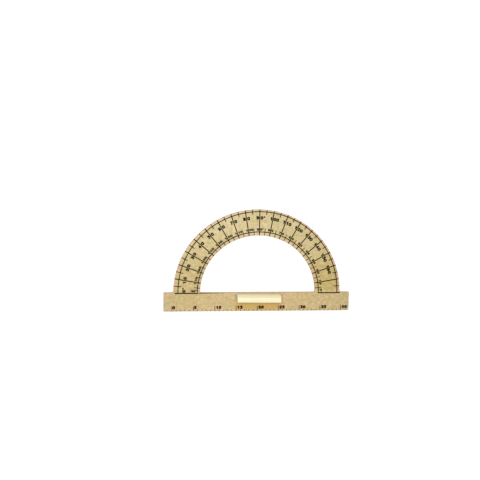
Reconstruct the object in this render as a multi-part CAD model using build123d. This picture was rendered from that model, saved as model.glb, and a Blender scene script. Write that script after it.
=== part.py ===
from build123d import *
import math
import os

# A blackboard protractor: one D-shaped fibreboard sheet with a straight ruler bar, a softwood
# hand grip screwed on from behind, and scales printed on the front face. Millimetres and degrees.
#
# Frame: the origin is the middle of the protractor's baseline, on the back face of the sheet.
# +X runs along the ruler from 0 to 40 cm, +Y points at the 90 degree mark, +Z leaves the front face.
# Angles of the scale are counted clockwise from the left end of the baseline, as they are read.

# ---- driving dimensions ----
BOARD_THICKNESS = 6.0
RULER_LENGTH = 439.0
RULER_TOP_Y = 1.6
RULER_BOTTOM_Y = -42.9
# The two curved edges were cut separately, and aren't quite concentric.
ARC_OUTER_RADIUS = 196.7
ARC_OUTER_CENTRE = (-0.4, -0.3)
ARC_INNER_RADIUS = 135.9
ARC_INNER_CENTRE = (0.8, 0.4)
CORNER_RADIUS = 1.2
WORN_CORNER_RADIUS = 3.5
INSIDE_CORNER_RADIUS = 1.5
TINY = 0.01
BOARD_EDGE_EASE = 0.4

GRIP_LENGTH = 102.0
GRIP_WIDTH = 16.2
GRIP_HEIGHT = 24.0
GRIP_CENTRE_X = 2.2
GRIP_TOP_Y = -1.6
GRIP_TILT = -0.5
GRIP_BEVEL_WIDTH = 5.5
GRIP_BEVEL_DEPTH = 3.0
GRIP_EDGE_EASE = 0.8

SCREW_SPACING = 60.0
SCREW_DIAMETER = 3.5
SCREW_LENGTH = 20.0
SCREW_POINT_LENGTH = 3.5
SCREW_HEAD_DIAMETER = 7.0
SCREW_HEAD_SINK = 0.3
RECESS_SPAN = 4.0
RECESS_WIDTH = 0.9
RECESS_DEPTH = 1.6
HOLE_CLEARANCE = 0.1

INK_THICKNESS = 0.08
INK_LIFT = 0.005
INK_EDGE_GAP = 0.3
# The printed angle scale sits a little right of the sheet's own middle.
PRINT_SHIFT_X = 1.8

# Each ring of the print is struck from its own centre, a little above the baseline:
# its radius, and how far that centre is raised.
OUTER_LINE = (187.8, 3.6)
INNER_LINE = (143.1, 1.3)
OUTER_NUMBERS = (174.2, 3.0)
INNER_NUMBERS = (149.2, 1.1)
ARC_LINE_WIDTH = 2.15
TEN_DEGREE_WIDTH = 2.35
FIVE_DEGREE_WIDTH = 1.9
FIVE_DEGREE_INNER_WIDTH = 1.5
OUTER_TICK_LENGTH = 6.6
INNER_TICK_LENGTH = 8.7
BASELINE_WIDTH = 2.7
BASELINE_REACH = 195.5
# The baseline runs on along the bar from the left foot, and thins out before it reaches the grip.
TAIL_LENGTH = 62.0
TAIL_START_WIDTH = 1.6
TAIL_END_WIDTH = 0.4

LAST_OUTER_NUMBER = 160
# Distances of the characters clockwise from their line, in reading order.
OUTER_ZERO_OFFSETS = (4.9, 10.8)
OUTER_TWO_OFFSETS = (-4.9, 5.2, 10.9)
OUTER_THREE_OFFSETS = (-3.6, 4.8, 11.6)
INNER_TWO_OFFSETS = (-3.9, 4.0, 8.1)
INNER_THREE_OFFSETS = (-3.3, 4.4, 9.5)
INNER_ZERO_OFFSETS = (-7.5, -3.4)
# The upright 180 stands on the left foot.
UPRIGHT_180_X = (-157.0, -153.3, -149.25, -145.8)
UPRIGHT_180_Y = 5.0

RULER_DIVISIONS = 40
RULER_PITCH = 10.0
RULER_GROUP = 5
LONG_TICK_LENGTH = 12.0
LONG_TICK_WIDTH = 1.4
SHORT_TICK_LENGTH = 4.0
SHORT_TICK_WIDTH = 1.0
RULER_NUMBER_ABOVE_EDGE = 9.0
# How far the first figure stands from its mark, in a number of one figure and of two.
RULER_NUMBER_STARTS = (4.2, 5.5)
RULER_NUMBER_PITCH = 6.7

# ---- numeral sizes: overall height, overall width, pen width, extra width of upright strokes ----
OUTER_NUMERAL = (8.2, 6.6, 2.4, 0.4)
INNER_NUMERAL = (5.8, 4.8, 1.75, 0.35)
UPRIGHT_NUMERAL = (5.8, 3.9, 1.65, 0.1)
RULER_NUMERAL = (7.8, 6.4, 2.4, 0.5)


# ---- numerals drawn with a round pen ----
def pen_line(points, pen):
    """Straight strokes from point to point."""
    strokes = []
    for (x0, y0), (x1, y1) in zip(points, points[1:]):
        length = math.hypot(x1 - x0, y1 - y0)
        turn = math.degrees(math.atan2(y1 - y0, x1 - x0))
        place = Location(((x0 + x1) / 2, (y0 + y1) / 2, 0), (0, 0, turn))
        strokes.append(place * SlotCenterToCenter(length, pen))
    return strokes


def pen_arc(centre, radius, start, sweep, pen):
    """A curved stroke, counter-clockwise from the start angle."""
    return [SlotArc(CenterArc(centre, radius, start, sweep), pen)]


def pen_loop(centre, width, height, pen):
    """A closed loop with round ends, whose centre line is width by height."""
    upright = 90 if height > width else 0
    narrow = min(width, height)
    straight = max(width, height) - narrow
    outside = SlotCenterToCenter(straight, narrow + pen)
    inside = SlotCenterToCenter(straight, narrow - pen)
    return [Location((centre[0], centre[1], 0), (0, 0, upright)) * (outside - inside)]


def numeral_strokes(character, w, h, pen):
    """Strokes of one numeral; its centre lines fill the box from (0, 0) to (w, h)."""
    r = w / 2
    q = h / 4
    if character == "0":
        return pen_loop((r, h / 2), w, h, pen)
    if character == "1":
        return pen_line([(0.15 * w, 0.74 * h), (0.62 * w, h), (0.62 * w, 0)], pen)
    if character == "2":
        fall = -35
        low_x = r + r * math.cos(math.radians(fall))
        low_y = h - r + r * math.sin(math.radians(fall))
        curve = pen_arc((r, h - r), r, fall, 170 - fall, pen)
        return curve + pen_line([(low_x, low_y), (0, 0), (w, 0)], pen)
    if character == "3":
        bend_x = w - q
        upper = pen_line([(0.05 * w, h), (bend_x, h)], pen) + pen_arc((bend_x, 3 * q), q, -90, 180, pen)
        lower = pen_line([(0.05 * w, 0), (bend_x, 0)], pen) + pen_arc((bend_x, q), q, -90, 180, pen)
        return upper + lower + pen_line([(0.35 * w, h / 2), (bend_x, h / 2)], pen)
    if character == "4":
        stem_x = 0.72 * w
        bar_y = 0.27 * h
        solid_counter = make_face(Polyline((stem_x, h), (0, bar_y), (stem_x, bar_y), close=True))
        return pen_line([(stem_x, 0), (stem_x, h), (0, bar_y), (w, bar_y)], pen) + [solid_counter]
    if character == "5":
        bowl = 0.31 * h
        bend_x = w - bowl
        stem = pen_line([(0.95 * w, h), (0.05 * w, h), (0.05 * w, 2 * bowl), (bend_x, 2 * bowl)], pen)
        return stem + pen_arc((bend_x, bowl), bowl, -90, 180, pen) + pen_line([(bend_x, 0), (0, 0)], pen)
    if character == "6":
        bowl_height = 0.52 * h
        bowl = pen_loop((r, bowl_height / 2), w, bowl_height, pen)
        stem = pen_line([(0, bowl_height / 2), (0, h - r)], pen)
        return bowl + stem + pen_arc((r, h - r), r, 55, 125, pen)
    if character == "7":
        return pen_line([(0, h), (w, h), (0.3 * w, 0)], pen)
    if character == "8":
        return pen_loop((r, q), w, 2 * q, pen) + pen_loop((r, 3 * q), 0.9 * w, 2 * q, pen)
    if character == "9":
        half_turn = Location((w, h, 0), (0, 0, 180))
        return [half_turn * stroke for stroke in numeral_strokes("6", w, h, pen)]
    raise ValueError(character)


def numeral(character, size):
    """One bold numeral, centred on its own origin, with its top towards +Y."""
    height, width, pen, widening = size
    w = width - pen - widening
    h = height - pen
    drawn = Location((-w / 2, -h / 2, 0)) * (Sketch() + numeral_strokes(character, w, h, pen))
    return Location((-widening / 2, 0, 0)) * drawn + Location((widening / 2, 0, 0)) * drawn


def degree_sign(size):
    """The small raised ring after a numeral."""
    height, _, pen, _ = size
    radius = 0.15 * height
    line = 0.65 * pen
    ring = Circle(radius + line / 2) - Circle(radius - line / 2)
    return Location((0, height / 2 - radius - line / 2, 0)) * ring


def numeral_set(size):
    """All the characters of one size, by name."""
    shapes = {character: numeral(character, size) for character in "0123456789"}
    shapes["°"] = degree_sign(size)
    return shapes


# ---- placing the print ----
def reach(ring, angle):
    """How far a ring of the print is from the middle of the baseline, at an angle of the scale."""
    radius, raised = ring
    return radius + raised * math.sin(math.radians(angle))


def on_scale(radius, angle):
    """A place on the printed angle scale, turned so that +Y points outwards."""
    theta = math.radians(angle)
    x = PRINT_SHIFT_X - radius * math.cos(theta)
    y = radius * math.sin(theta)
    return Location((x, y, 0), (0, 0, 90 - angle))


def number_on_scale(shapes, text, angle, ring, offsets):
    """Numerals set along a ring; each offset is a distance clockwise from the angle."""
    placed = []
    for character, offset in zip(text, offsets):
        own_angle = angle + math.degrees(offset / reach(ring, angle))
        placed.append(on_scale(reach(ring, own_angle), own_angle) * shapes[character])
    return placed


def bar_on_scale(angle, inner_radius, outer_radius, width):
    """A radial line of the angle scale."""
    middle = (inner_radius + outer_radius) / 2
    return on_scale(middle, angle) * Rectangle(width, outer_radius - inner_radius)


def half_ring_line(ring, width):
    """The part of a printed circle that lies above the baseline."""
    radius, raised = ring
    circle = Location((0, raised, 0)) * (Circle(radius + width / 2) - Circle(radius - width / 2))
    above = Location((0, radius, 0)) * Rectangle(3 * radius, 2 * radius)
    return Location((PRINT_SHIFT_X, 0, 0)) * (circle & above)


def baseline():
    """The line across each foot, with the thin tail that runs on from the left one."""
    inner_end = INNER_LINE[0] - ARC_LINE_WIDTH / 2
    middle = (inner_end + BASELINE_REACH) / 2
    drawn = []
    for side in (-1, 1):
        foot = Rectangle(BASELINE_REACH - inner_end, BASELINE_WIDTH)
        drawn.append(Location((PRINT_SHIFT_X + side * middle, 0, 0)) * foot)
    start = PRINT_SHIFT_X - inner_end
    tail = Polyline(
        (start, -TAIL_START_WIDTH / 2),
        (start + TAIL_LENGTH, -TAIL_END_WIDTH / 2),
        (start + TAIL_LENGTH, TAIL_END_WIDTH / 2),
        (start, TAIL_START_WIDTH / 2),
        close=True,
    )
    return drawn + [make_face(tail)]


def ink(shapes):
    """Thin solids of print standing on the front face."""
    faces = [face for shape in shapes for face in shape.faces()]
    solids = [extrude(face, amount=INK_THICKNESS, dir=(0, 0, 1)) for face in faces]
    return Location((0, 0, BOARD_THICKNESS + INK_LIFT)) * Compound(children=solids)


# ---- the sheet ----
def ruler_bar():
    """The straight bar, with its saw corners rounded in plan."""
    middle = (RULER_TOP_Y + RULER_BOTTOM_Y) / 2
    bar = Location((0, middle, 0)) * Rectangle(RULER_LENGTH, RULER_TOP_Y - RULER_BOTTOM_Y)
    worn_point = (RULER_LENGTH / 2, RULER_BOTTOM_Y, 0)
    by_distance = bar.vertices().sort_by_distance(worn_point)
    bar = fillet(by_distance[1:], CORNER_RADIUS)
    return fillet(bar.vertices().sort_by_distance(worn_point)[0], WORN_CORNER_RADIUS)


def half_ring_band():
    """The curved band that carries the angle scale."""
    outside = Location(ARC_OUTER_CENTRE) * Circle(ARC_OUTER_RADIUS)
    window = Location(ARC_INNER_CENTRE) * Circle(ARC_INNER_RADIUS)
    above = Location((0, ARC_OUTER_RADIUS, 0)) * Rectangle(3 * ARC_OUTER_RADIUS, 2 * ARC_OUTER_RADIUS)
    return (outside - window) & above


def is_inside_corner(vertex):
    """True where the band meets the top edge of the bar."""
    on_top_edge = abs(vertex.Y - RULER_TOP_Y) < TINY
    return on_top_edge and abs(vertex.X) < ARC_OUTER_RADIUS + INSIDE_CORNER_RADIUS


def board_outline():
    """The whole D shape, with small cutter radii in its inside corners."""
    outline = ruler_bar() + half_ring_band()
    inside = outline.vertices().filter_by(is_inside_corner)
    return fillet(inside, INSIDE_CORNER_RADIUS)


def grip_frame():
    """The grip's own frame: origin at the middle of its base, on the front face."""
    centre_y = GRIP_TOP_Y - GRIP_WIDTH / 2
    return Location((GRIP_CENTRE_X, centre_y, BOARD_THICKNESS), (0, 0, GRIP_TILT))


def screw_frames():
    """Two frames, left then right: origin on the back face, +Z into the board."""
    half = SCREW_SPACING / 2
    return [grip_frame() * Location((x, 0, -BOARD_THICKNESS)) for x in (-half, half)]


def screw_body(allowance=0.0, head_start=SCREW_HEAD_SINK):
    """A countersunk screw pointing along +Z; the allowance makes it a cutting tool for its hole."""
    shank = SCREW_DIAMETER / 2 + allowance
    head = SCREW_HEAD_DIAMETER / 2 + allowance
    neck_z = SCREW_HEAD_SINK + head - shank
    tip_z = SCREW_HEAD_SINK + SCREW_LENGTH
    outline = Polyline(
        (0, head_start),
        (head, head_start),
        (head, SCREW_HEAD_SINK + TINY),
        (shank, neck_z + TINY),
        (shank, tip_z - SCREW_POINT_LENGTH),
        (0, tip_z),
        close=True,
    )
    return revolve(Plane.XZ * make_face(outline), Axis.Z)


def cross_recess():
    """The tapered cross that the driver fits."""
    across = Box(RECESS_SPAN, RECESS_WIDTH, 2 * RECESS_DEPTH)
    along = Box(RECESS_WIDTH, RECESS_SPAN, 2 * RECESS_DEPTH)
    taper = Cone(RECESS_SPAN / 2, RECESS_WIDTH / 2, RECESS_DEPTH)
    recess = (across + along) & (Location((0, 0, RECESS_DEPTH / 2)) * taper)
    return Location((0, 0, SCREW_HEAD_SINK)) * recess


def make_screw(frame):
    """One grip screw, driven from behind."""
    return frame * (screw_body() - cross_recess())


def make_board():
    """The sheet with eased edges and two countersunk clearance holes under the grip."""
    sheet = extrude(board_outline(), amount=BOARD_THICKNESS)
    rims = sheet.faces().sort_by(Axis.Z)
    sheet = fillet(rims[0].edges() + rims[-1].edges(), BOARD_EDGE_EASE)
    hole = screw_body(HOLE_CLEARANCE, -SCREW_HEAD_SINK)
    for frame in screw_frames():
        sheet = sheet - frame * hole
    return sheet


def make_grip():
    """The wooden bar that the hand holds, bevelled along its upper long edge."""
    half = GRIP_WIDTH / 2
    section = Polyline(
        (-half, 0),
        (half, 0),
        (half, GRIP_HEIGHT - GRIP_BEVEL_DEPTH),
        (half - GRIP_BEVEL_WIDTH, GRIP_HEIGHT),
        (-half, GRIP_HEIGHT),
        close=True,
    )
    block = extrude(Plane.YZ * make_face(section), amount=GRIP_LENGTH / 2, both=True)
    base = block.faces().sort_by(Axis.Z)[0]
    base_edges = base.edges()
    eased = block.edges().filter_by(lambda edge: all(edge.center() != e.center() for e in base_edges))
    block = grip_frame() * fillet(eased, GRIP_EDGE_EASE)
    for frame in screw_frames():
        block = block - frame * screw_body()
    return block


# ---- the print on the front face ----
def printed_area():
    """Where the arc print may lie: the sheet, less a narrow clean rim along its sawn edges."""
    return offset(board_outline(), -INK_EDGE_GAP, kind=Kind.INTERSECTION)


def make_scale_lines():
    """Both half circles, the baseline, and the 10 and 5 degree graduations."""
    drawn = [half_ring_line(ring, ARC_LINE_WIDTH) for ring in (OUTER_LINE, INNER_LINE)]
    drawn += baseline()
    inside_edge = ARC_INNER_RADIUS - PRINT_SHIFT_X
    outside_edge = ARC_OUTER_RADIUS + PRINT_SHIFT_X
    for angle in range(10, 180, 10):
        drawn.append(bar_on_scale(angle, inside_edge, outside_edge, TEN_DEGREE_WIDTH))
    for angle in range(5, 180, 10):
        outer_end = reach(OUTER_LINE, angle) - OUTER_TICK_LENGTH
        inner_end = reach(INNER_LINE, angle) + INNER_TICK_LENGTH
        drawn.append(bar_on_scale(angle, outer_end, outside_edge, FIVE_DEGREE_WIDTH))
        drawn.append(bar_on_scale(angle, inside_edge, inner_end, FIVE_DEGREE_INNER_WIDTH))
    return ink([(Sketch() + drawn) & printed_area()])


def make_outer_numbers():
    """0 to 160 read clockwise from the left, straddling their lines; the right foot carries none."""
    shapes = numeral_set(OUTER_NUMERAL)
    placed = number_on_scale(shapes, "0°", 0, OUTER_NUMBERS, OUTER_ZERO_OFFSETS)
    for angle in range(10, LAST_OUTER_NUMBER + 10, 10):
        text = "90°" if angle == 90 else str(angle)
        offsets = OUTER_TWO_OFFSETS if angle < 100 else OUTER_THREE_OFFSETS
        placed += number_on_scale(shapes, text, angle, OUTER_NUMBERS, offsets)
    return ink(placed)


def make_inner_numbers():
    """170 down to 0 read clockwise from the left, with an upright 180 beside the left foot."""
    upright = numeral_set(UPRIGHT_NUMERAL)
    placed = []
    for character, x in zip("180°", UPRIGHT_180_X):
        placed.append(Location((PRINT_SHIFT_X + x, UPRIGHT_180_Y, 0)) * upright[character])
    shapes = numeral_set(INNER_NUMERAL)
    for angle in range(10, 180, 10):
        reading = 180 - angle
        text = "90°" if reading == 90 else str(reading)
        offsets = INNER_TWO_OFFSETS if reading < 100 else INNER_THREE_OFFSETS
        placed += number_on_scale(shapes, text, angle, INNER_NUMBERS, offsets)
    placed += number_on_scale(shapes, "0°", 180, INNER_NUMBERS, INNER_ZERO_OFFSETS)
    return ink(placed)


def ruler_x(mark):
    """Where a centimetre mark stands on the bar."""
    return (mark - RULER_DIVISIONS / 2) * RULER_PITCH


def make_ruler_ticks():
    """A mark every centimetre up from the bottom edge, three times as long every fifth."""
    ticks = []
    foot = RULER_BOTTOM_Y + BOARD_EDGE_EASE
    for mark in range(RULER_DIVISIONS + 1):
        long_tick = mark % RULER_GROUP == 0
        length = LONG_TICK_LENGTH if long_tick else SHORT_TICK_LENGTH
        width = LONG_TICK_WIDTH if long_tick else SHORT_TICK_WIDTH
        ticks.append(Location((ruler_x(mark), foot + length / 2, 0)) * Rectangle(width, length))
    return ink(ticks)


def make_ruler_numbers():
    """Every fifth centimetre is numbered, to the right of its long mark."""
    shapes = numeral_set(RULER_NUMERAL)
    placed = []
    y = RULER_BOTTOM_Y + RULER_NUMBER_ABOVE_EDGE
    for mark in range(0, RULER_DIVISIONS + 1, RULER_GROUP):
        text = str(mark)
        start = ruler_x(mark) + RULER_NUMBER_STARTS[len(text) - 1]
        for place, character in enumerate(text):
            x = start + place * RULER_NUMBER_PITCH
            placed.append(Location((x, y, 0)) * shapes[character])
    return ink(placed)


def main():
    left_frame, right_frame = screw_frames()
    nodes = {
        "board": make_board(),
        "grip": make_grip(),
        "grip_screw_left": make_screw(left_frame),
        "grip_screw_right": make_screw(right_frame),
        "scale_lines": make_scale_lines(),
        "outer_numbers": make_outer_numbers(),
        "inner_numbers": make_inner_numbers(),
        "ruler_ticks": make_ruler_ticks(),
        "ruler_numbers": make_ruler_numbers(),
    }
    os.makedirs("parts", exist_ok=True)
    for name, shape in nodes.items():
        export_step(shape, f"parts/{name}.step")


main()
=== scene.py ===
import math
import bmesh
import bpy
from mathutils import Matrix, Vector, noise


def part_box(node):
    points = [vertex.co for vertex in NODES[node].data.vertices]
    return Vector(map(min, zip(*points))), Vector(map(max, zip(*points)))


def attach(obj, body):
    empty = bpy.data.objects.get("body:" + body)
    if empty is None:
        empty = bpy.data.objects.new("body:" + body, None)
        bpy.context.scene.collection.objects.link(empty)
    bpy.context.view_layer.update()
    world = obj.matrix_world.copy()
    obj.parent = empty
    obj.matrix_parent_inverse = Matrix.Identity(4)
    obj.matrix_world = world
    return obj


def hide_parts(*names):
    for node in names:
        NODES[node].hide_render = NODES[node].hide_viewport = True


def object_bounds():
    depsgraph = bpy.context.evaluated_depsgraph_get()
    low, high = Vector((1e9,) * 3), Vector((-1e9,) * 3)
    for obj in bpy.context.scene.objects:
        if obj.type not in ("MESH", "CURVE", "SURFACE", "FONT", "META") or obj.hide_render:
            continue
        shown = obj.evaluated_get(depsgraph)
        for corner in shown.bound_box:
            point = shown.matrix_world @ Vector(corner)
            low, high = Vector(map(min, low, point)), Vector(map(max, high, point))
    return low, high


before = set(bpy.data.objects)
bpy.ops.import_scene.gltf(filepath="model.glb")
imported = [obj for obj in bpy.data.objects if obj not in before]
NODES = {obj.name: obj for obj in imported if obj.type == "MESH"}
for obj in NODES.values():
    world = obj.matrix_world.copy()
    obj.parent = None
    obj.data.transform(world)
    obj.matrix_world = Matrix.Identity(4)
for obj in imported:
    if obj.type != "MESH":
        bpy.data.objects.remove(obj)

CAD_LOW, CAD_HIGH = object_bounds()
MM = 0.001

# ---- camera, as seen by someone standing over the board ----
CAMERA_PLACE = Vector((-0.1736, 0.3012, 1.3776))
CAMERA_AIM = Vector((-0.0433, 0.1254, 0.006))
CAMERA_ROLL = math.radians(-0.86)
CAMERA_LENS = 45.0
CAMERA_SENSOR = 36.0

# ---- sizes of the sheet that its box doesn't give ----
RULER_TOP_Y = 1.6 * MM
RULER_BOTTOM_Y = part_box("board")[0].y
ARC_OUTER_CENTRE = (-0.4 * MM, -0.3 * MM)
ARC_OUTER_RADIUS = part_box("board")[1].y - ARC_OUTER_CENTRE[1]
ARC_INNER_CENTRE = (0.8 * MM, 0.4 * MM)
ARC_INNER_RADIUS = 135.9 * MM
CORNER_RADIUS = 1.2 * MM
WORN_CORNER_RADIUS = 3.5 * MM
INSIDE_CORNER_RADIUS = 1.5 * MM
EDGE_EASE = 0.45 * MM
RIM_STEP = 1.5 * MM
SAW_RIPPLE = 0.05 * MM

# ---- sizes of the grip that its box doesn't give, as it is turned a little ----
GRIP_LENGTH = 102.0 * MM
GRIP_WIDTH = 16.2 * MM
GRIP_TILT = math.radians(-0.5)
GRIP_BEVEL_WIDTH = 5.5 * MM
GRIP_BEVEL_DEPTH = 3.0 * MM
GRIP_EDGE_EASE = 0.9 * MM
GRIP_WEAR = 0.10 * MM
GRIP_SLICES = 50

# ---- the countersunk holes behind the grip ----
HOLE_MOUTH_RADIUS = 3.6 * MM
HOLE_SHANK_RADIUS = 1.85 * MM
HOLE_SINK = 0.3 * MM
HOLE_SIDES = 64
HOLE_START = -1.0 * MM
HOLE_END = 8.0 * MM

# ---- setting ----
FLOOR_HALF = 6.0
FLOOR_GAP = 0.1 * MM
SOFTBOX_PLACE = (-0.25, 0.45, 1.95)
SOFTBOX_AIM = (0, 0.05, 0)
SOFTBOX_SIZE = 1.0
SOFTBOX_POWER = 31.0
WORLD_STRENGTH = 0.65
WHITE = (1, 1, 1, 1)

# ---- places and tones on the sheet ----
GRIP_MIDDLE = (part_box("grip")[0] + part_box("grip")[1]) / 2
LEFT_FOOT = (-0.165, 0.020)
RIGHT_FOOT = (0.165, 0.020)
BARK_SPECK = (0.1324, -0.0064)
BAR_TONE = (0.457, 0.341, 0.152, 1.0)
# painted sheen: the paler, less saturated tone at the top of the arc
TOP_SHEEN_TONE = (0.470, 0.385, 0.180, 1.0)
END_TONE = (0.409, 0.318, 0.147, 1.0)
FOOT_TONE = (0.396, 0.294, 0.087, 1.0)
RIM_TONE = (0.580, 0.335, 0.255, 1.0)
# painted warm shadow below the grip
GRIP_SHADOW_TONE = (0.465, 0.262, 0.046, 1.0)
# painted shade at both ends of the grip
GRIP_END_SHADE_TONE = (0.250, 0.175, 0.070, 1.0)


# ---- small helpers ----
def link_object(name, data):
    """A new object in the scene, from a mesh, a curve, a lamp or a lens."""
    piece = bpy.data.objects.new(name, data)
    bpy.context.scene.collection.objects.link(piece)
    return piece


def smooth_by_angle(mesh, angle=35):
    """Smooth shading that keeps real corners crisp."""
    for polygon in mesh.polygons:
        polygon.use_smooth = True
    mesh.set_sharp_from_angle(angle=math.radians(angle))


def set_material(piece, material):
    piece.data.materials.clear()
    piece.data.materials.append(material)


class Shader:
    """A node material with one Principled shader, and short calls to add nodes to it."""

    def __init__(self, name):
        self.material = bpy.data.materials.new(name)
        self.material.use_nodes = True
        self.tree = self.material.node_tree
        self.surface = self.tree.nodes["Principled BSDF"]
        self.place = self.add("ShaderNodeTexCoord").outputs["Object"]

    def add(self, kind, inputs=None, **settings):
        """One node; each input is a value or another node's output."""
        node = self.tree.nodes.new(kind)
        for name, value in settings.items():
            setattr(node, name, value)
        for name, value in (inputs or {}).items():
            self.set(node.inputs[name], value)
        return node

    def set(self, socket, value):
        if isinstance(value, bpy.types.NodeSocket):
            self.tree.links.new(value, socket)
        else:
            socket.default_value = value

    def finish(self, **inputs):
        for name, value in inputs.items():
            self.set(self.surface.inputs[name.replace("_", " ")], value)
        return self.material

    def noise(self, scale, detail=3.0, roughness=0.5, place=None, distortion=0.0):
        """Cloudy noise, 0 to 1; the scale is in cycles per metre."""
        inputs = {
            "Vector": place or self.place,
            "Scale": scale,
            "Detail": detail,
            "Roughness": roughness,
            "Distortion": distortion,
        }
        return self.add("ShaderNodeTexNoise", inputs).outputs["Fac"]

    def math(self, operation, a, b=0.0, clamp=False):
        return self.add("ShaderNodeMath", {0: a, 1: b}, operation=operation, use_clamp=clamp).outputs[0]

    def spread(self, value, low, high, to_low=0.0, to_high=1.0):
        """Maps low..high to to_low..to_high, with soft ends."""
        inputs = {"Value": value, "From Min": low, "From Max": high, "To Min": to_low, "To Max": to_high}
        node = self.add("ShaderNodeMapRange", inputs, interpolation_type="SMOOTHSTEP")
        return node.outputs["Result"]

    def mix(self, factor, a, b, blend="MIX"):
        """Mixes two colours."""
        node = self.add("ShaderNodeMix", data_type="RGBA", blend_type=blend)
        for socket, value in ((node.inputs[0], factor), (node.inputs[6], a), (node.inputs[7], b)):
            self.set(socket, value)
        return node.outputs[2]

    def stretched(self, x, y, z):
        """The object's coordinates, scaled along each axis."""
        return self.add("ShaderNodeMapping", {"Vector": self.place, "Scale": (x, y, z)}).outputs[0]

    def axis(self, name, place=None):
        return self.add("ShaderNodeSeparateXYZ", {"Vector": place or self.place}).outputs[name]

    def distance(self, centre):
        """Distance in plan from a point on the sheet."""
        x = self.math("SUBTRACT", self.axis("X"), centre[0])
        y = self.math("SUBTRACT", self.axis("Y"), centre[1])
        return self.math("SQRT", self.math("ADD", self.math("MULTIPLY", x, x), self.math("MULTIPLY", y, y)))

    def facing_up(self):
        """1 on level faces, 0 on the sawn edges."""
        normal = self.add("ShaderNodeNewGeometry").outputs["Normal"]
        return self.spread(self.math("ABSOLUTE", self.axis("Z", normal)), 0.55, 0.9)

    def bump(self, height, distance, strength=1.0, under=None):
        inputs = {"Height": height, "Distance": distance, "Strength": strength}
        node = self.add("ShaderNodeBump", inputs)
        if under is not None:
            self.set(node.inputs["Normal"], under)
        return node.outputs["Normal"]


def colour(red, green, blue):
    return (red, green, blue, 1.0)


# ---- materials ----
def board_tone(s):
    """The sheet's colour: paler at the top of the arc as a painted sheen, ochre at the right foot, dull at
    the ends.
    """
    across = s.axis("X")
    up = s.axis("Y")
    # Painted sheen: the arc turns paler and less saturated towards its top, where a broad reflection of the
    # softbox lies.
    base = s.mix(s.spread(up, 0.0, 0.20), BAR_TONE, TOP_SHEEN_TONE)
    ends = s.spread(s.math("ABSOLUTE", across), 0.170, 0.215)
    bar = s.spread(up, 12 * MM, 2 * MM)
    base = s.mix(s.math("MULTIPLY", ends, bar), base, END_TONE)
    foot = s.spread(s.distance(RIGHT_FOOT), 0.095, 0.020)
    base = s.mix(s.math("MULTIPLY", foot, s.spread(up, 0.0, 12 * MM)), base, FOOT_TONE)
    return s.mix(s.spread(s.distance(LEFT_FOOT), 0.090, 0.020, 0, 0.4), base, FOOT_TONE)


def sanded_rim(s):
    """1 along the sanded edges of the arc and the bar, 0 a few millimetres inside them."""
    up = s.axis("Y")
    outer_far = s.distance(ARC_OUTER_CENTRE)
    outer = s.spread(outer_far, ARC_OUTER_RADIUS - 4.0 * MM, ARC_OUTER_RADIUS - 1.0 * MM)
    beyond = s.spread(outer_far, ARC_OUTER_RADIUS, ARC_OUTER_RADIUS + 1 * MM)
    inner_far = s.distance(ARC_INNER_CENTRE)
    inner = s.spread(inner_far, ARC_INNER_RADIUS + 3.0 * MM, ARC_INNER_RADIUS + 0.5 * MM)
    arc = s.math("MULTIPLY", s.math("MAXIMUM", outer, inner), s.spread(up, 1.0 * MM, 6.0 * MM))
    low_edge = s.spread(up, RULER_BOTTOM_Y + 2.0 * MM, RULER_BOTTOM_Y, 0, 0.6)
    top_edge = s.spread(s.math("ABSOLUTE", s.math("SUBTRACT", up, RULER_TOP_Y)), 1.8 * MM, 0.4 * MM, 0, 0.6)
    within = s.spread(inner_far, ARC_INNER_RADIUS, ARC_INNER_RADIUS - 1 * MM)
    clear = s.math("ADD", within, beyond, clamp=True)
    bar = s.math("MAXIMUM", low_edge, s.math("MULTIPLY", top_edge, clear))
    return s.math("MAXIMUM", arc, bar)


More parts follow.
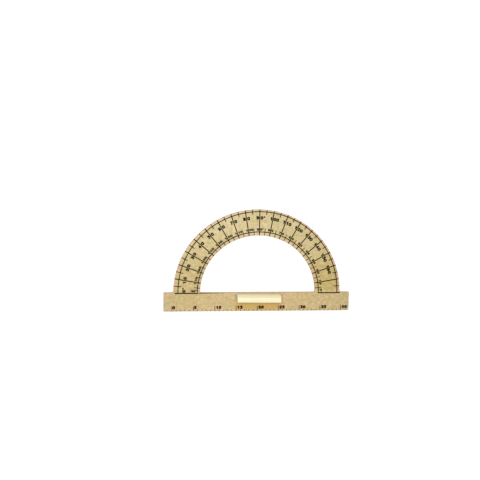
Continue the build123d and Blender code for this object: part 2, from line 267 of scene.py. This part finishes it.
def fibreboard():
    """Medium-density fibreboard under thin varnish: pressed fibres, soft blotches, browner sawn edges."""
    s = Shader("fibreboard")
    base = board_tone(s)
    base = s.mix(s.math("MULTIPLY", sanded_rim(s), 0.75), base, RIM_TONE)

    # Soft blotches where the board drank the varnish unevenly: pinkish or greenish, pale or brown.
    hue = s.noise(45, 4, 0.65, distortion=0.5)
    base = s.mix(s.spread(hue, 0.50, 0.68, 0, 0.38), base, colour(0.540, 0.335, 0.215))
    base = s.mix(s.spread(hue, 0.50, 0.34, 0, 0.34), base, colour(0.395, 0.385, 0.125))
    depth = s.noise(150, 3, 0.6, distortion=0.5)
    base = s.mix(s.spread(depth, 0.50, 0.68, 0, 0.50), base, colour(0.620, 0.500, 0.270))
    base = s.mix(s.spread(depth, 0.50, 0.34, 0, 0.50), base, colour(0.320, 0.235, 0.095))

    # Painted shade round both ends of the grip, on the front face only, standing in for a soft contact
    # shadow.
    front = s.spread(s.axis("Z"), 4.0 * MM, 5.5 * MM)
    along = s.math("ABSOLUTE", s.math("SUBTRACT", s.axis("X"), GRIP_MIDDLE.x))
    beside = s.math("ABSOLUTE", s.math("SUBTRACT", s.axis("Y"), GRIP_MIDDLE.y))
    grip_end_shade = s.math("MULTIPLY", s.spread(along, 0.061, 0.0515), s.spread(beside, 11 * MM, 7 * MM))
    grip_end_shade = s.math("MULTIPLY", grip_end_shade, front)
    base = s.mix(s.math("MULTIPLY", grip_end_shade, 0.50), base, GRIP_END_SHADE_TONE)

    # Painted shadow along the lower side of the grip, warm as if lit by light bounced off the pine, fading
    # towards the bar's lower edge.
    grip_shadow = s.math("MULTIPLY", front, s.spread(along, 0.060, 0.048))
    grip_shadow = s.math("MULTIPLY", grip_shadow, s.spread(s.axis("Y"), GRIP_MIDDLE.y, GRIP_MIDDLE.y - 6 * MM))
    shadow_fades_low = s.spread(s.axis("Y"), RULER_BOTTOM_Y, RULER_BOTTOM_Y + 12 * MM, 0.45, 1.0)
    grip_shadow = s.math("MULTIPLY", grip_shadow, shadow_fades_low)
    base = s.mix(s.math("MULTIPLY", grip_shadow, 0.75), base, GRIP_SHADOW_TONE)

    # Short fibres lie every way in the face: pale flecks and a few dark bark specks.
    flecks = s.spread(s.noise(1400, 5, 0.7, distortion=1.5), 0.56, 0.72)
    base = s.mix(s.math("MULTIPLY", flecks, 0.30), base, colour(0.600, 0.500, 0.310))
    dark = s.spread(s.noise(900, 4, 0.75, distortion=2.0), 0.60, 0.74)
    base = s.mix(s.math("MULTIPLY", dark, 0.35), base, colour(0.230, 0.145, 0.060))
    bark = s.spread(s.noise(210, 2, 0.4), 0.74, 0.80)
    base = s.mix(s.math("MULTIPLY", bark, 0.50), base, colour(0.140, 0.080, 0.030))
    speck = s.math("MULTIPLY", front, s.spread(s.distance(BARK_SPECK), 1.9 * MM, 0.6 * MM))
    base = s.mix(s.math("MULTIPLY", speck, 0.60), base, colour(0.160, 0.100, 0.040))

    # The sawn edge is browner, with a fuzzy lighter core between the two dense faces.
    core = s.math("ABSOLUTE", s.math("SUBTRACT", s.axis("Z"), 3.0 * MM))
    dense = s.spread(core, 1.0 * MM, 2.8 * MM)
    layers = s.noise(900, 4, 0.7, s.stretched(0.4, 0.4, 3.0))
    edge = s.mix(dense, colour(0.300, 0.190, 0.125), colour(0.220, 0.125, 0.080))
    edge = s.mix(s.math("MULTIPLY", layers, 0.5), edge, colour(0.360, 0.245, 0.175))
    flat = s.facing_up()
    base = s.mix(flat, edge, base)

    fibre_height = s.math("ADD", s.noise(1400, 5, 0.7, distortion=1.5), s.noise(420, 3, 0.6))
    normal = s.bump(fibre_height, 0.05 * MM, 0.55)
    normal = s.bump(layers, 0.12 * MM, s.math("SUBTRACT", 1.0, flat), normal)
    gloss = s.spread(s.noise(60, 4, 0.6), 0.3, 0.7, 0.46, 0.62)
    rough = s.math("ADD", gloss, s.math("MULTIPLY", s.math("SUBTRACT", 1.0, flat), 0.3), clamp=True)
    return s.finish(Base_Color=base, Roughness=rough, Normal=normal, IOR=1.45)


def pine():
    """Planed pine sawn from a log whose heart lies below and behind the grip."""
    s = Shader("pine")
    heart_y = -46.0 * MM
    heart_z = -30.0 * MM
    wander = s.math("MULTIPLY", s.math("SUBTRACT", s.noise(5, 3, 0.5), 0.5), 9.0 * MM)
    ripple = s.noise(60, 3, 0.5, s.stretched(0.15, 1, 1))
    ripple = s.math("MULTIPLY", s.math("SUBTRACT", ripple, 0.5), 1.4 * MM)
    dy = s.math("SUBTRACT", s.axis("Y"), heart_y)
    dz = s.math("SUBTRACT", s.axis("Z"), heart_z)
    far = s.math("SQRT", s.math("ADD", s.math("MULTIPLY", dy, dy), s.math("MULTIPLY", dz, dz)))
    far = s.math("ADD", s.math("ADD", far, wander), ripple)
    ring_width = 2.6 * MM
    phase = s.math("FRACT", s.math("DIVIDE", far, ring_width))
    late = s.math("MULTIPLY", s.spread(phase, 0.45, 0.93), s.spread(phase, 1.0, 0.95))
    cloud = s.spread(s.noise(40, 3, 0.5), 0.3, 0.7)
    early = s.mix(cloud, colour(0.720, 0.665, 0.444), colour(0.760, 0.720, 0.500))
    base = s.mix(s.math("MULTIPLY", late, 0.35), early, colour(0.650, 0.540, 0.300))

    # Painted shade: the bevel and the upright sides, tilted away from the light, are painted darker and
    # yellower than the front face.
    facing = s.axis("Z", s.add("ShaderNodeNewGeometry").outputs["Normal"])
    bevel = s.math("MULTIPLY", s.spread(facing, 0.70, 0.84), s.spread(facing, 0.97, 0.90))
    base = s.mix(s.math("MULTIPLY", bevel, 0.85), base, colour(0.630, 0.510, 0.268))
    upright_shade = s.spread(facing, 0.50, 0.10)
    base = s.mix(s.math("MULTIPLY", upright_shade, 0.55), base, colour(0.526, 0.485, 0.267))

    # Fine fibres and resin canals run along the grip.
    along = s.stretched(0.03, 1.0, 1.0)
    fibres = s.noise(2600, 4, 0.65, along)
    base = s.mix(s.math("MULTIPLY", s.spread(fibres, 0.45, 0.75), 0.20), base, colour(0.560, 0.450, 0.255))
    canals = s.spread(s.noise(1500, 2, 0.4, along), 0.70, 0.78)
    base = s.mix(s.math("MULTIPLY", canals, 0.5), base, colour(0.340, 0.210, 0.090))
    handled = s.spread(s.noise(22, 4, 0.6), 0.45, 0.75)
    base = s.mix(s.math("MULTIPLY", handled, 0.10), base, colour(0.480, 0.360, 0.190))

    height = s.math("ADD", s.math("MULTIPLY", late, 0.6), fibres)
    normal = s.bump(height, 0.05 * MM, 0.5)
    rough = s.spread(s.noise(35, 4, 0.6), 0.3, 0.7, 0.42, 0.60)
    return s.finish(Base_Color=base, Roughness=rough, Normal=normal, IOR=1.47)


def print_ink():
    """Screen-printed brown-black ink, a little thin where the mesh starved it."""
    s = Shader("print_ink")
    thin = s.spread(s.noise(420, 4, 0.65), 0.60, 0.85)
    base = s.mix(thin, colour(0.0130, 0.0070, 0.0004), colour(0.034, 0.018, 0.002))
    pinholes = s.spread(s.noise(3000, 2, 0.5), 0.78, 0.84)
    base = s.mix(s.math("MULTIPLY", pinholes, 0.4), base, colour(0.150, 0.095, 0.040))
    normal = s.bump(s.noise(1800, 3, 0.6), 0.02 * MM, 0.5)
    rough = s.spread(s.noise(90, 3, 0.6), 0.3, 0.7, 0.55, 0.72)
    return s.finish(Base_Color=base, Roughness=rough, Normal=normal, IOR=1.05)


def screw_steel():
    """Zinc-plated steel with driver scuffs."""
    s = Shader("screw_steel")
    spots = s.spread(s.noise(900, 4, 0.6), 0.4, 0.7)
    base = s.mix(spots, colour(0.560, 0.550, 0.510), colour(0.400, 0.390, 0.360))
    scuffs = s.noise(2500, 3, 0.6, s.stretched(1.0, 0.15, 1.0))
    normal = s.bump(scuffs, 0.02 * MM, 0.6)
    rough = s.spread(scuffs, 0.3, 0.7, 0.26, 0.48)
    return s.finish(Base_Color=base, Metallic=1.0, Roughness=rough, Normal=normal)


def floor_paper():
    """A plain pale floor with the faint tooth of matt paper."""
    s = Shader("floor_paper")
    tone = s.spread(s.noise(6, 3, 0.5), 0.3, 0.7)
    base = s.mix(tone, colour(0.900, 0.900, 0.900), colour(0.920, 0.920, 0.920))
    normal = s.bump(s.noise(1200, 3, 0.6), 0.05 * MM, 0.2)
    rough = s.spread(s.noise(300, 3, 0.5), 0.3, 0.7, 0.85, 0.95)
    return s.finish(Base_Color=base, Roughness=rough, Normal=normal)


# ---- the fibreboard sheet ----
def arc_points(centre, radius, start, end, step=RIM_STEP):
    """Points along an arc, angles in degrees, both ends included."""
    length = math.radians(abs(end - start)) * radius
    count = max(4, math.ceil(length / step))
    points = []
    for i in range(count + 1):
        angle = math.radians(start + (end - start) * i / count)
        points.append((centre[0] + radius * math.cos(angle), centre[1] + radius * math.sin(angle)))
    return points


def straight_points(start, end, step=RIM_STEP):
    """Points strictly between two ends of a straight run."""
    length = math.dist(start, end)
    count = max(1, math.ceil(length / step))
    return [tuple(a + (b - a) * i / count for a, b in zip(start, end)) for i in range(1, count)]


def joined(runs):
    """One closed loop through several runs, with straight stretches filled in between them."""
    loop = []
    for run, following in zip(runs, runs[1:] + runs[:1]):
        loop += run + straight_points(run[-1], following[0])
    return loop


def corner_fillet(centre, reach):
    """Both small cutter circles between a curved edge and the bar, and the angle where they touch it."""
    y = RULER_TOP_Y + INSIDE_CORNER_RADIUS
    aside = math.sqrt(reach * reach - (y - centre[1]) ** 2)
    touch = math.degrees(math.atan2(y - centre[1], aside))
    return (centre[0] + aside, y), (centre[0] - aside, y), touch


def board_loops():
    """The sheet's outer edge and the edge of its window, as flat loops."""
    low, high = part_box("board")
    left, right, bottom, top = low.x, high.x, RULER_BOTTOM_Y + 0.01 * MM, RULER_TOP_Y
    corner, worn, inside = CORNER_RADIUS, WORN_CORNER_RADIUS, INSIDE_CORNER_RADIUS
    reach = ARC_OUTER_RADIUS + inside
    right_fillet, left_fillet, touch = corner_fillet(ARC_OUTER_CENTRE, reach)
    outside = joined([
        arc_points((right - worn, bottom + worn), worn, -90, 0),
        arc_points((right - corner, top - corner), corner, 0, 90),
        arc_points(right_fillet, inside, 270, 180 + touch),
        arc_points(ARC_OUTER_CENTRE, ARC_OUTER_RADIUS, touch, 180 - touch),
        arc_points(left_fillet, inside, -touch, -90),
        arc_points((left + corner, top - corner), corner, 90, 180),
        arc_points((left + corner, bottom + corner), corner, 180, 270),
    ])
    reach = ARC_INNER_RADIUS - inside
    right_fillet, left_fillet, touch = corner_fillet(ARC_INNER_CENTRE, reach)
    window = joined([
        arc_points(right_fillet, inside, -90, touch),
        arc_points(ARC_INNER_CENTRE, ARC_INNER_RADIUS, touch, 180 - touch),
        arc_points(left_fillet, inside, 180 - touch, 270),
    ])
    return [outside, window]


def sheet_mesh(loops, thickness):
    """A flat sheet with eased edges, from closed loops."""
    curve = bpy.data.curves.new("sheet_outline", "CURVE")
    curve.dimensions = "2D"
    curve.fill_mode = "BOTH"
    curve.extrude = thickness / 2 - EDGE_EASE
    curve.bevel_depth = EDGE_EASE
    curve.bevel_resolution = 2
    curve.offset = -EDGE_EASE
    for loop in loops:
        spline = curve.splines.new("POLY")
        spline.points.add(len(loop) - 1)
        for point, (x, y) in zip(spline.points, loop):
            point.co = (x, y, 0, 1)
        spline.use_cyclic_u = True
    holder = link_object("sheet_outline", curve)
    mesh = bpy.data.meshes.new_from_object(holder)
    bpy.data.objects.remove(holder)
    mesh.transform(Matrix.Translation((0, 0, thickness / 2)))
    return mesh


def roughen_rim(mesh):
    """Moves the sawn edge in by a few hundredths of a millimetre, as cutter marks do."""
    work = bmesh.new()
    work.from_mesh(mesh)
    bmesh.ops.remove_doubles(work, verts=work.verts, dist=0.002 * MM)
    bmesh.ops.recalc_face_normals(work, faces=work.faces)
    for vertex in work.verts:
        outward = Vector((vertex.normal.x, vertex.normal.y, 0))
        if outward.length < 0.5:
            continue
        chatter = noise.noise(vertex.co * 900) + noise.noise(vertex.co * 140)
        vertex.co -= outward.normalized() * SAW_RIPPLE * (1 + chatter)
    work.to_mesh(mesh)
    work.free()


def cut(piece, tool):
    """Takes the tool's shape out of the piece."""
    modifier = piece.modifiers.new("cut", "BOOLEAN")
    modifier.operation = "DIFFERENCE"
    modifier.solver = "EXACT"
    modifier.object = tool
    depsgraph = bpy.context.evaluated_depsgraph_get()
    mesh = bpy.data.meshes.new_from_object(piece.evaluated_get(depsgraph))
    piece.modifiers.remove(modifier)
    piece.data = mesh
    bpy.data.objects.remove(tool)


def countersink_tool(centre):
    """The drilled hole and the cone that a screw head sits in."""
    work = bmesh.new()
    neck = HOLE_SINK + HOLE_MOUTH_RADIUS - HOLE_SHANK_RADIUS
    rings = [
        (HOLE_START, HOLE_MOUTH_RADIUS),
        (HOLE_SINK, HOLE_MOUTH_RADIUS),
        (neck, HOLE_SHANK_RADIUS),
        (HOLE_END, HOLE_SHANK_RADIUS),
    ]
    turns = [2 * math.pi * i / HOLE_SIDES for i in range(HOLE_SIDES)]
    loops = []
    for z, radius in rings:
        spots = [Vector((radius * math.cos(turn), radius * math.sin(turn), z)) for turn in turns]
        loops.append([work.verts.new(centre + spot) for spot in spots])
    for lower, upper in zip(loops, loops[1:]):
        for i in range(HOLE_SIDES):
            j = (i + 1) % HOLE_SIDES
            work.faces.new((lower[i], lower[j], upper[j], upper[i]))
    work.faces.new(list(reversed(loops[0])))
    work.faces.new(loops[-1])
    mesh = bpy.data.meshes.new("countersink")
    work.to_mesh(mesh)
    work.free()
    return link_object("countersink", mesh)


def make_board():
    """The sheet, with its rim roughened and the two screw holes behind."""
    low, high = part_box("board")
    mesh = sheet_mesh(board_loops(), high.z - low.z)
    roughen_rim(mesh)
    board = link_object("fibreboard_sheet", mesh)
    for screw in ("grip_screw_left", "grip_screw_right"):
        screw_low, screw_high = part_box(screw)
        middle = (screw_low + screw_high) / 2
        cut(board, countersink_tool(Vector((middle.x, middle.y, low.z))))
    smooth_by_angle(board.data)
    set_material(board, fibreboard())
    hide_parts("board")
    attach(board, "root")
    return board


# ---- the grip ----
def grip_section(height):
    """The end view: a rectangle with a long bevel along its upper front edge."""
    half = GRIP_WIDTH / 2
    shoulder = (half, height - GRIP_BEVEL_DEPTH)
    ridge = (half - GRIP_BEVEL_WIDTH, height)
    return [(-half, 0), (half, 0), shoulder, ridge, (-half, height)]


def make_grip():
    """The bevelled pine bar, turned a little on the sheet."""
    low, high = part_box("grip")
    centre = Vector(((low.x + high.x) / 2, (low.y + high.y) / 2, low.z))
    height = high.z - low.z
    work = bmesh.new()
    section = grip_section(height)
    left = [work.verts.new((-GRIP_LENGTH / 2, y, z)) for y, z in section]
    right = [work.verts.new((GRIP_LENGTH / 2, y, z)) for y, z in section]
    count = len(section)
    for i in range(count):
        j = (i + 1) % count
        work.faces.new((left[i], left[j], right[j], right[i]))
    work.faces.new(list(reversed(left)))
    work.faces.new(right)
    bmesh.ops.recalc_face_normals(work, faces=work.faces)
    eased = [e for e in work.edges if any(v.co.z > 0.1 * MM for v in e.verts)]
    ease = {"offset": GRIP_EDGE_EASE, "offset_type": "OFFSET", "segments": 4, "profile": 0.5}
    bmesh.ops.bevel(work, geom=eased, affect="EDGES", **ease)
    for i in range(1, GRIP_SLICES):
        place = Vector((GRIP_LENGTH * (i / GRIP_SLICES - 0.5), 0, 0))
        geometry = list(work.verts) + list(work.edges) + list(work.faces)
        bmesh.ops.bisect_plane(work, geom=geometry, plane_co=place, plane_no=(1, 0, 0))
    # A hand plane and years of chalky fingers leave the faces very slightly uneven.
    for vertex in work.verts:
        if vertex.co.z < 0.5 * MM:
            continue
        wear = 0.5 + 0.5 * noise.noise(vertex.co * 30)
        vertex.co -= vertex.normal * GRIP_WEAR * wear
    mesh = bpy.data.meshes.new("pine_grip")
    work.to_mesh(mesh)
    work.free()
    mesh.transform(Matrix.Translation(centre) @ Matrix.Rotation(GRIP_TILT, 4, "Z"))
    smooth_by_angle(mesh, 30)
    grip = link_object("pine_grip", mesh)
    set_material(grip, pine())
    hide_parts("grip")
    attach(grip, "root")
    return grip


# ---- setting ----
def make_floor():
    """A wide level floor that the sheet lies on."""
    half = FLOOR_HALF
    level = CAD_LOW.z - FLOOR_GAP
    mesh = bpy.data.meshes.new("floor")
    corners = [(-half, -half, level), (half, -half, level), (half, half, level), (-half, half, level)]
    mesh.from_pydata(corners, [], [(0, 1, 2, 3)])
    floor = link_object("floor", mesh)
    set_material(floor, floor_paper())


def make_light():
    """One round softbox above, and an even white room."""
    lamp = bpy.data.lights.new("softbox", "AREA")
    lamp.shape = "DISK"
    lamp.size = SOFTBOX_SIZE
    lamp.energy = SOFTBOX_POWER
    holder = link_object("softbox", lamp)
    holder.location = SOFTBOX_PLACE
    downwards = Vector(SOFTBOX_AIM) - Vector(SOFTBOX_PLACE)
    holder.rotation_euler = downwards.to_track_quat("-Z", "Y").to_euler()
    world = bpy.data.worlds.new("studio")
    world.use_nodes = True
    background = world.node_tree.nodes["Background"]
    background.inputs["Color"].default_value = WHITE
    background.inputs["Strength"].default_value = WORLD_STRENGTH
    bpy.context.scene.world = world
    bpy.context.scene.view_settings.view_transform = "Standard"


def make_camera():
    """A camera at the viewer's place, rolled slightly."""
    lens = bpy.data.cameras.new("camera")
    lens.lens = CAMERA_LENS
    lens.sensor_width = CAMERA_SENSOR
    camera = link_object("camera", lens)
    backwards = (CAMERA_PLACE - CAMERA_AIM).normalized()
    rightwards = Vector((0, 1, 0)).cross(backwards).normalized()
    upwards = backwards.cross(rightwards)
    turn = Matrix((rightwards, upwards, backwards)).transposed().to_4x4()
    camera.matrix_world = Matrix.Translation(CAMERA_PLACE) @ turn @ Matrix.Rotation(-CAMERA_ROLL, 4, "Z")
    bpy.context.scene.camera = camera


make_camera()
make_light()
make_floor()
make_board()
make_grip()
for name in ("grip_screw_left", "grip_screw_right"):
    set_material(NODES[name], screw_steel())
INK = print_ink()
for name in ("scale_lines", "outer_numbers", "inner_numbers", "ruler_ticks", "ruler_numbers"):
    set_material(NODES[name], INK)
